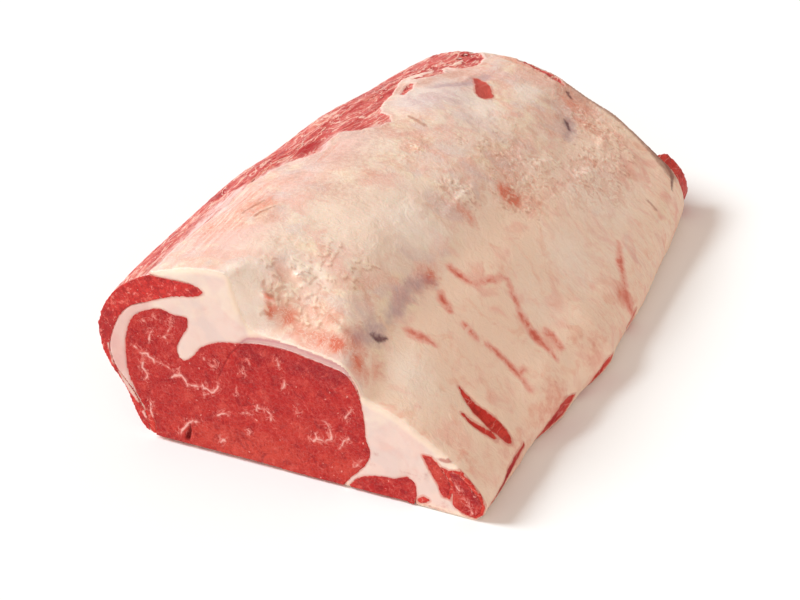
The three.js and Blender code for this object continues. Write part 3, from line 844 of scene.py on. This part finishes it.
# Spots of greyish fat, partly greyish film and partly painted shade in the crease and dents, then flaky fat,
# crumbly fat, rosy film and paler fat.
GREY_SPOTS = [
    (36, 146, 13, 20, 0.7), (-36, -25, 26, 30, 0.35), (-30, 66, 16, 26, 0.7), (37, -168, 8, 12, 0.8),
    (40, -120, 10, 26, 0.5), (70, 196, 22, 7, 0.6), (-30, 112, 14, 26, 0.7), (-54, 66, 12, 36, 0.8),
    (-70, -30, 10, 40, 0.4), (-92, -60, 8, 16, 0.5), (-58, 20, 14, 50, 1), (-44, -10, 14, 40, 0.6),
    (-66, -60, 14, 30, 0.5),
]
FLAKY_SPOTS = [
    (-4, -180, 36, 18, 1), (-20, -150, 26, 20, 0.7), (18, -150, 20, 24, 0.6), (-57, -127, 14, 20, 0.3),
    (14, -90, 20, 50, 0.4), (40, -180, 10, 26, 0.5), (10, 80, 40, 70, 0.4),
]
CRUMBLY_SPOTS = [
    (24, -20, 14, 40, 0.8), (45, 45, 30, 50, 1), (68, 110, 30, 60, 1), (50, 168, 36, 34, 1),
    (110, 60, 20, 70, 0.35), (-14, 5, 10, 26, 0.9), (0, 196, 60, 8, 0.9), (20, 110, 30, 50, 0.4),
]
ROSY_SPOTS = [
    (-78, -130, 36, 100, 1), (-62, -20, 26, 60, 0.8), (-34, 165, 40, 44, 0.8), (-6, 0, 22, 40, 0.4),
]
PALE_SPOTS = [
    (66, -172, 22, 24, 0.9), (-20, -100, 30, 70, 0.5), (76, -20, 26, 26, 0.4), (-88, -170, 10, 40, 0.7),
]
# Lean on the loin end's cut face round the two lip muscles, and small threads of it: (x, z) and half widths.
LIP_LEAN = [
    (85, 37.3), (90, 37.3), (95.6, 32), (101, 30.6), (108, 32), (114.5, 26.3), (121.3, 18.4),
    (123.8, 11.5), (122.8, 5.6), (118, 2.6), (111.3, 3.6), (106.1, 8.2), (105.6, 15), (103.2, 18),
    (102.2, 11.4), (97.7, 12.2), (95.7, 18.1), (90.2, 27.2),
]
CUT_LEAN = [
    [(82.5, 4.5, 1.4), (85.5, 6, 2.3), (88, 6.5, 1)],
    [(-101, 20, 0.8), (-97.5, 13, 2.4), (-94.5, 6, 3), (-90, 0, 3)],
]
# Bloody smears on the loin end's fat: (x, z, half width, half height, strength).
STAINS = [
    (100, 37.5, 6, 1.6, 1.2), (86, 24, 8, 9, 0.3), (98, 6, 6, 4, 0.4), (-118, 52, 3, 8, 0.4),
    (-99, 24, 3, 7, 1), (52, 22, 3, 2, 0.5), (76, 22, 6, 1.5, 0.5), (54, 30, 4, 3, 0.5),
    (90, 2, 14, 1.5, 0.6),
]


def scatter_shreds():
    """Short crooked strokes, scattered round each cluster."""
    chance = np.random.RandomState(7)
    strokes = []
    for x, y, spread, count, length in SHREDS:
        for _ in range(count):
            spot = np.array([x, y]) + chance.normal(0, spread * 0.6, 2)
            turn = chance.uniform(0, np.pi)
            bend = chance.uniform(-1.8, 1.8)
            stride = length * chance.uniform(0.35, 1.3) / 5
            wide = chance.uniform(0.15, 0.45)
            stroke = []
            for step in range(5):
                stroke.append((spot[0], spot[1], wide * (1 - 0.2 * step)))
                spot = spot + np.array([np.cos(turn), np.sin(turn)]) * stride
                turn += bend * chance.uniform(0, 0.8)
            strokes.append(stroke)
    return strokes


def torn(places, size, seed):
    """Torn fat: 1 along thin curling ridges, and steps between layers from 0 to 1."""
    bend = np.stack([wander(places, size * 1.6, seed + k) for k in (1, 2, 3)], axis=1) * size * 0.9
    layer = wander(places + bend, (size, size * 1.3, size), seed, 3)
    return np.clip(1 - np.abs(layer) / 0.22, 0, 1) ** 1.3, ease(layer, -0.1, 0.1)


fat = rough_out("fat_cover", "fat_layer", FAT_VOXEL)
muscles = [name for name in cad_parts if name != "fat_cover"]
lean = surface_of(muscles)
thin_out(fat, hidden_in_seam(fat, muscles), FAT_SEAM_SHARE)
thin_out(fat, places_of(fat)[:, 2] < 0.5, FAT_SOLE_SHARE)
x, y, z = places_of(fat).T
refine(fat, (y < LOIN_Y + ON_CUT) & (x > 74))
places = places_of(fat)
x, y, z = places.T
from_lean = from_surface(lean, places, y < LOIN_Y + 10, NEAR_LEAN)
to_end = np.minimum(y - LOIN_Y, CHUCK_Y - 4 - y)
open_edge = ease(from_lean, 3, 7) * (y < 0) * ease(z, 10, 30)
smooth_skin(fat, np.maximum(ease(to_end, 0.6, 6.0), open_edge) * ease(z, 1, 8), 30)
x, y, z = places_of(fat).T
strokes = from_strokes(x, y, STREAKS + SCORES + CREASE_SHADE_STROKES + DENT_SHADE_SPOTS + CHUCK_RIM_SHADE)
strokes = np.minimum(strokes, np.abs(np.minimum(band_gap(x, y, z), open_gap(x, y, z))))
calm = (strokes > 4) & (z > 4) & (y > LOIN_Y + 12)
calm &= soft_spots(x, y, FLAKY_SPOTS + CRUMBLY_SPOTS) < 0.08
thin_out(fat, calm, CALM_SHARE)
spare = places_of(fat)[:, 1] > LOIN_Y + 1.5
room = MOST_TRIANGLES - triangles_of(fat, ~spare)
thin_out(fat, spare, min(1, room / triangles_of(fat, spare)))

places = places_of(fat)
facing = facing_of(fat)
x, y, z = places.T
from_lean = from_surface(lean, places, y < LOIN_Y + 10, NEAR_LEAN)
cut = cut_share(places, facing)
skin = skin_share(places, facing)
top = skin * ease(facing[:, 2], -0.1, 0.3)
fray, fine_fray = wander(places, 7, 4.4), wander(places, 2.2, 9.1)
band = band_gap(x, y, z) + 1.6 * fray + 0.6 * fine_fray
opened = open_gap(x, y, z) + 0.5 * fray + 0.3 * fine_fray
bare = np.minimum(band, opened)
flaky = ease(soft_spots(x, y, FLAKY_SPOTS) + 0.22 * wander(places, 16, 12.5), 0.05, 1.0) * top
crumbly = ease(soft_spots(x, y, CRUMBLY_SPOTS) + 0.25 * wander(places, 12, 52.5), 0.05, 1.0) * top
rosy = soft_spots(x, y, ROSY_SPOTS) * top
across = ease(x, 60, 95) * ease(y, -60, 0) * top
curl, layer = torn(places, 9, 20.0)
crumb, step = torn(places, 5.5, 31.0)
grit = torn(places, 3.0, 44.0)[0]
whorl = 0.6 * curl + 0.4 * layer
crumbs = 0.45 * crumb + 0.45 * step + 0.1 * grit
bend_x, bend_y = x + 2.2 * wander(places, 9, 62.0, 3), y + 2.2 * wander(places, 9, 73.0, 3)
# How far each place is from the creases, which are sunk and painted with shade.
from_crease = from_strokes(bend_x, bend_y, CREASE_SHADE_STROKES)
lift = SWELLS * wander(places, 32, 15.2) + LUMPS * wander(places, 12, 17.7)
lift += flaky * (FLAKES * whorl - FLAKES / 2) + crumbly * (CRUMBS * crumbs - CRUMBS / 2)
lift += rosy * (FIBRES * wander(places, (2.8, 30, 2.8), 19.9) + WRINKLES * wander(places, (8, 50, 8), 23.9))
lift += across * RIPPLES * wander(places, (18, 4.5, 12), 27.1)
lift -= CREASE_DEPTH * ease(from_crease, 4.0, -0.5) + DENT_DEPTH * ease(from_strokes(x, y, DENT_SHADE_SPOTS), 2.0, -0.5)
shreds = scatter_shreds()
shred = from_strokes(x, y, shreds) + 0.5 * fine_fray
lift += SHREDDED * ease(shred, 1.2, -0.4) * top
lift += BAND_LIP * ease(np.abs(band - 1.5), 2.5, 0) - BAND_STEP * ease(band, 0.5, -2.0)
in_bare = ease(band, 0.5, -1.5)
lift = lift * (1 - in_bare) + in_bare * (furrows(places) * 0.8 - 0.6)
lift -= SLASH_DEPTH * ease(opened, 0.2, -2.4)
outward = facing * (lift * skin)[:, None]
outward[:, 1] += np.where(y < 0, -1, 1) * cut * (cut_waves(places) + 0.1 * wander(places, 4, 61.0) - 0.05)
outward[:, 2] += 0.35 * ease(z, 0.6, 0.1) * (z < 0.7)
places += outward
places[:, 2] = np.maximum(places[:, 2], 0)
move_to(fat, places)

bend_x, bend_y = x + 1.2 * wander(places, 6, 64.0, 3), y + 1.2 * wander(places, 6, 75.0, 3)
gap_on_cut = np.minimum(from_outline(x, z, LIP_LEAN) - 0.6, from_strokes(x, z, CUT_LEAN)) + 0.3 * fine_fray
gap_on_cut = np.where(y < LOIN_Y + 1.6, gap_on_cut, FAR)
keep(fat,
     cut=np.maximum(cut, ease(from_lean, 2.6, 1.6) * (y < LOIN_Y + CUT_BAND)),
     bare=np.minimum(np.where(cut > 0.5, FAR, bare), gap_on_cut),
     rim=band,
     raw=ease(np.minimum(opened, gap_on_cut), 2.0, 0.5),
     film=film_over(x, y, z) * (1 - cut),
     # painted shade in the hollows and painted highlight on the ridges of flaky and crumbly fat
     hollow=flaky * (1 - whorl) * 0.8 + crumbly * (1 - crumbs) * 0.8,
     crest=flaky * curl + crumbly * crumb * 0.9,
     soft=ease(y, 60, 90),
     vivid=soft_spots(x, y, VIVID_SPOTS) * ((x > 100) | (z > UPPER_SIDE)),
     arc=ease(x, -84, -102),
     stain=soft_spots(x, z, STAINS) * (y < LOIN_Y + 4))
lively = 0.35 + 0.65 * np.maximum(ease(x, 62, 36), 0.7 * ease(y, 0, 60)) * top
# painted shade in the small dents and along the chuck end's rim
dark = np.maximum(ease(from_strokes(bend_x, bend_y, DENT_SHADE_SPOTS), 3.2, -0.8),
                  0.9 * ease(from_strokes(x, y, CHUCK_RIM_SHADE), 1.5, -1.0))
shade = ease(from_strokes(x - 1.3, y + 0.9, shreds), 1.4, 0.0)
keep(fat,
     lively=lively * (1 - 0.6 * soft_spots(x, y, CALM_SPOTS)),
     shred=ease(shred, 1.3, -0.3) * top,
     shred_shade=shade * ease(shred, 0.2, 0.9) * top,
     dusky=soft_spots(bend_x, bend_y, DUSKY_SPOTS),
     crumbly=crumbly,
     rosy=rosy,
     across=across,
     streak=ease(from_strokes(bend_x, bend_y, STREAKS), 4.0, -3.0),
     score=ease(from_strokes(bend_x, y, SCORES), 2.4, -0.4),
     # painted shade along the creases
     bruise=ease(from_crease, 8.0, -4.0),
     dark=dark,
     blush=soft_spots(bend_x, bend_y, BLUSH_SPOTS),
     # the lip's side: its own tan tone, painted lighter as light on the slope turned from the key light
     tan=ease(x, 24, 62) * ease(z, 0, 8))
for name, spots in (("bright", PALER_AND_PAINTED_LIGHT_SPOTS), ("whitish", WHITISH_SPOTS), ("greyish", GREY_SPOTS),
                    ("pale", PALE_SPOTS)):
    keep(fat, **{name: soft_spots(x, y, spots)})
# How far each place of the cut face is from the eye, from any lean and from the outer skin.
over_eye = ease(x, -46, -26) * ease(x, 44, 34) * ease(z, 56, 66) * (cut > 0.3)
at_tail = ease(from_strokes(x, z, TAIL_FAT), 4, 2)
skin_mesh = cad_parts["fat_cover"].data
outer = [list(p.vertices) for p in skin_mesh.polygons
         if abs(p.normal.y) < 0.5 and lean.find_nearest(p.center, 1.2 * MM)[0] is None]
outer_skin = BVHTree.FromPolygons([v.co for v in skin_mesh.vertices], outer)
on_cut = (y < LOIN_Y + 1) & (cut > 0.3)
from_skin = from_surface(outer_skin, places, on_cut, NEAR_LEAN)
keep(fat,
     by_front=ease(y - LOIN_Y, 4.5, 0.5),
     by_back=ease(from_strokes(x, y, CHUCK_EDGE), 8, 0) * top,
     by_eye=NEAR_LEAN + (from_lean - NEAR_LEAN) * over_eye,
     by_lean=np.where(y < LOIN_Y + CUT_BAND, from_lean + 6 * at_tail, NEAR_LEAN),
     by_skin=np.where(on_cut | (y >= LOIN_Y + 12), from_skin, 0))

fat_finish = begin("raw_beef_fat")
coarse = swirl(3.4, 4.0, 0.65, offset=(2, 6, 3))
ragged = add("Math", {0: coarse, 1: 0.5}, operation="SUBTRACT")
broad = swirl(42, offset=(9, 2, 5))
yellower = swirl(30, 2.5, 0.5, offset=(1, 3, 5), warp=0.8)
pinker = swirl(20, 2.5, 0.5, offset=(8, 6, 1), warp=0.8)
oranger = swirl(14, offset=(3, 9, 4), warp=0.8)
greyer = swirl(22, 2.5, 0.5, offset=(5, 0, 9), warp=0.8)
patches = swirl(7, 4.0, 0.62, offset=(6, 1, 5), warp=0.5)
specks = swirl(2.6, 3.0, 0.6, offset=(6, 8, 2), warp=0.3)
lengthways = swirl(2.8, 4.0, 0.62, squash=(1, 0.1, 1), offset=(0, 4, 0), warp=0.8)
sideways = swirl(3.6, 4.0, 0.62, squash=(0.25, 1, 0.3), offset=(0, 4, 7), warp=1.6)
curls = swirl(8, 4.0, 0.6, offset=(3, 3, 8), warp=1.4)
_, curl_line = threads(curls, 0.035)
paler_lengthways, paler_sideways, darker_specks = [
    add("Math", {0: 1.0, 1: field}, operation="SUBTRACT") for field in (lengthways, sideways, specks)
]
outside = add("Mix", {0: broad, 6: "#EFD8C3", 7: "#F3DCCD"}, 2, data_type="RGBA")
outside = paint(outside, [
    # tan tone of the lip's side, painted lighter as light on its slope turned from the key light
    ("#FADDC7", "tan", 0.1, 0.9, 0.3, 0.95),
    ("#F3DCC8", "pale", 0.1, 0.9, 0.8, 0.9),
    ("#EBC1B6", "rosy", 0.1, 0.7, 0.5, 0.9),
    ("#F1DCC0", ("lively", yellower), 0.44, 0.64, 0.05, 0.7),
    ("#EBBAAB", ("lively", pinker), 0.4, 0.62, 0.05, 0.7),
    ("#DFAA90", ("lively", oranger), 0.5, 0.68, 0.08, 0.45),
    ("#DDC6C0", ("lively", greyer), 0.46, 0.64, 0.05, 0.55),
    ("#ECA898", ("tan", pinker), 0.48, 0.72, 0.08, 0.45),
    ("#EBA78A", ("tan", oranger), 0.52, 0.7, 0.08, 0.35),
    ("#E8A493", ("rosy", lengthways), 0.36, 0.54, 0.25, 0.65),
    ("#D6786A", ("rosy", lengthways), 0.52, 0.66, 0.2, 0.65),
    ("#F8DDD4", ("rosy", paler_lengthways), 0.46, 0.66, 0.2, 0.6),
    ("#E8A391", ("across", sideways), 0.48, 0.68, 0.15, 0.35),
    ("#F8E2CE", ("across", paler_sideways), 0.5, 0.66, 0.15, 0.35),
    ("#CF9A88", "dusky", 0.05, 1.25, 1.3, 0.8),
    # paler fat, partly its own tone and partly painted light on slopes turned from the light
    ("#FFF1E4", "bright", 0.1, 1, 0.6, 0.75),
    # greyer fat: partly greyish film, partly painted shade in the crease and dents
    ("#CBADA2", ("greyish", patches), 0.12, 0.5, 0.3, 0.6),
    ("#E4D2CC", "whitish", 0.1, 0.8, 0.8, 0.75),
    ("#C9A5A6", ("whitish", pinker), 0.34, 0.6, 0.3, 0.45),
    ("#E39A84", ("blush", patches), 0.08, 0.42, 0.3, 0.8),
    ("#DC7258", ("blush", patches), 0.36, 0.6, 0.3, 0.8),
    # painted shade in the hollows of torn fat
    ("#E3A58C", "hollow", 0.1, 0.8, 0.5, 0.4),
    ("#D98F76", ("crumbly", darker_specks), 0.5, 0.66, 0.1, 0.35),
    ("#F6E6D2", ("crumbly", specks), 0.5, 0.66, 0.1, 0.4),
    # painted highlight on the ridges of torn fat
    ("#F8E8D4", "crest", 0.35, 1, 0.5, 0.5),
    ("#FBF0E2", ("lively", curl_line), 0.45, 0.95, 0.3, 0.45),
    ("#C08B6E", "shred_shade", 0.2, 1, 0.6, 0.4),
    ("#F9E5CE", "shred", 0.2, 1, 0.9, 0.6),
    ("#ECA998", ("streak", patches), 0.02, 0.3, 0.2, 0.75),
    ("#DE7F6C", ("streak", patches), 0.26, 0.46, 0.3, 0.75),
    ("#CE5645", ("streak", patches), 0.42, 0.6, 0.3, 0.7),
    ("#B0705C", "score", 0.2, 0.9, 0.6, 0.6),
    # grey-lilac painted shade along the creases
    ("#B6989F", "bruise", 0.05, 1, 0.7, 0.6),
    # painted shade in the small dents and along the chuck end's rim
    ("#5E303C", "dark", 0.25, 1.1, 0.7, 0.85),
    ("#9C6C5E", "by_back", 0.2, 1, 0.9, 0.75),
], ragged)
inside = add("Mix", {0: broad, 6: "#E5CAC0", 7: "#EAD2C7"}, 2, data_type="RGBA")
inside = paint(inside, [
    ("#E2B5AA", pinker, 0.52, 0.72, 0.2, 0.45),
    ("#D6C4BF", greyer, 0.44, 0.64, 0.1, 0.4),
    ("#CFA89F", "arc", 0.1, 0.9, 0.5, 0.85),
    ("#CB8A83", ("arc", pinker), 0.44, 0.7, 0.3, 0.6),
    ("#EFDDCB", yellower, 0.5, 0.66, 0.2, 0.6),
    ("#F5DFC8", "by_skin", 5, 1.6, 2.4, 0.65),
    ("#DE9C92", "by_lean", 3, 0.6, 1.8, 0.6),
    ("#C4564E", "by_lean", 0.7, 0.1, 0.8, 0.7),
    ("#D8ABA2", "by_eye", 8.5, 5, 2.4, 0.7),
    ("#B56C7A", "by_eye", 6, 4.6, 2.4, 0.6),
    ("#D8B0AA", "by_eye", 4.6, 3, 2, 0.8),
    ("#F8DEDA", "by_eye", 2.4, 1.2, 1.2, 0.9),
    ("#B25A54", "stain", 0.2, 0.9, 1, 0.7),
], ragged)
frayed = add("Math", {0: ragged, 1: 0.9, 2: "by_front"}, operation="MULTIPLY_ADD")
edge_share = add("MapRange", {"Value": frayed, "From Min": 0.45, "From Max": 0.95})
cut_or_edge = add("Math", {0: "cut", 1: edge_share}, operation="MAXIMUM")
fat_colour = add("Mix", {0: cut_or_edge, 6: outside, 7: inside}, 2, data_type="RGBA")
not_cut = add("Math", {0: 1.0, 1: cut_or_edge}, operation="SUBTRACT")
fat_colour = paint(fat_colour, [
    # painted highlight: a pale line along the rounded edge between the cut face and the skin
    ("#F9E8DA", (cut_or_edge, not_cut), 0.1, 0.26, 0.1, 0.45),
    ("#F4CFC8", "rim", 3.4, 0.4, 6, 0.4),
    ("#D98F7E", "raw", 0.05, 0.9, 0.5, 0.6),
], ragged)
lean_colour, lean_height = along_grain(ragged)
edge = add("Math", {0: ragged, 1: 2.6, 2: "bare"}, operation="MULTIPLY_ADD")
is_bare = add("MapRange", {"Value": edge, "From Min": 0.35, "From Max": -0.35})
colour = add("Mix", {0: is_bare, 6: fat_colour, 7: lean_colour}, 2, data_type="RGBA")
height = add("Math", {0: coarse, 1: 0.5, 2: curls}, operation="MULTIPLY_ADD")
for name, field, share in (("rosy", lengthways, 1.0), ("across", sideways, 0.6), ("crumbly", specks, 1.3)):
    part = add("Math", {0: name, 1: field}, operation="MULTIPLY")
    height = add("Math", {0: part, 1: share, 2: height}, operation="MULTIPLY_ADD")
flat_height = add("Math", {0: coarse, 1: 0.3}, operation="MULTIPLY")
height = add("Mix", {0: "cut", 2: height, 3: flat_height}, data_type="FLOAT")
height = add("Mix", {0: is_bare, 2: height, 3: lean_height}, data_type="FLOAT")
sheen = add("MapRange", {"Value": coarse, "From Min": 0.3, "From Max": 0.7,
                         "To Min": 0.42, "To Max": 0.6})
moist(colour, sheen, height, 0.8, 0.18, (1.4, 0.6, 0.4))
dress(fat, fat_finish)
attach(fat, "root")
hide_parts("fat_cover")
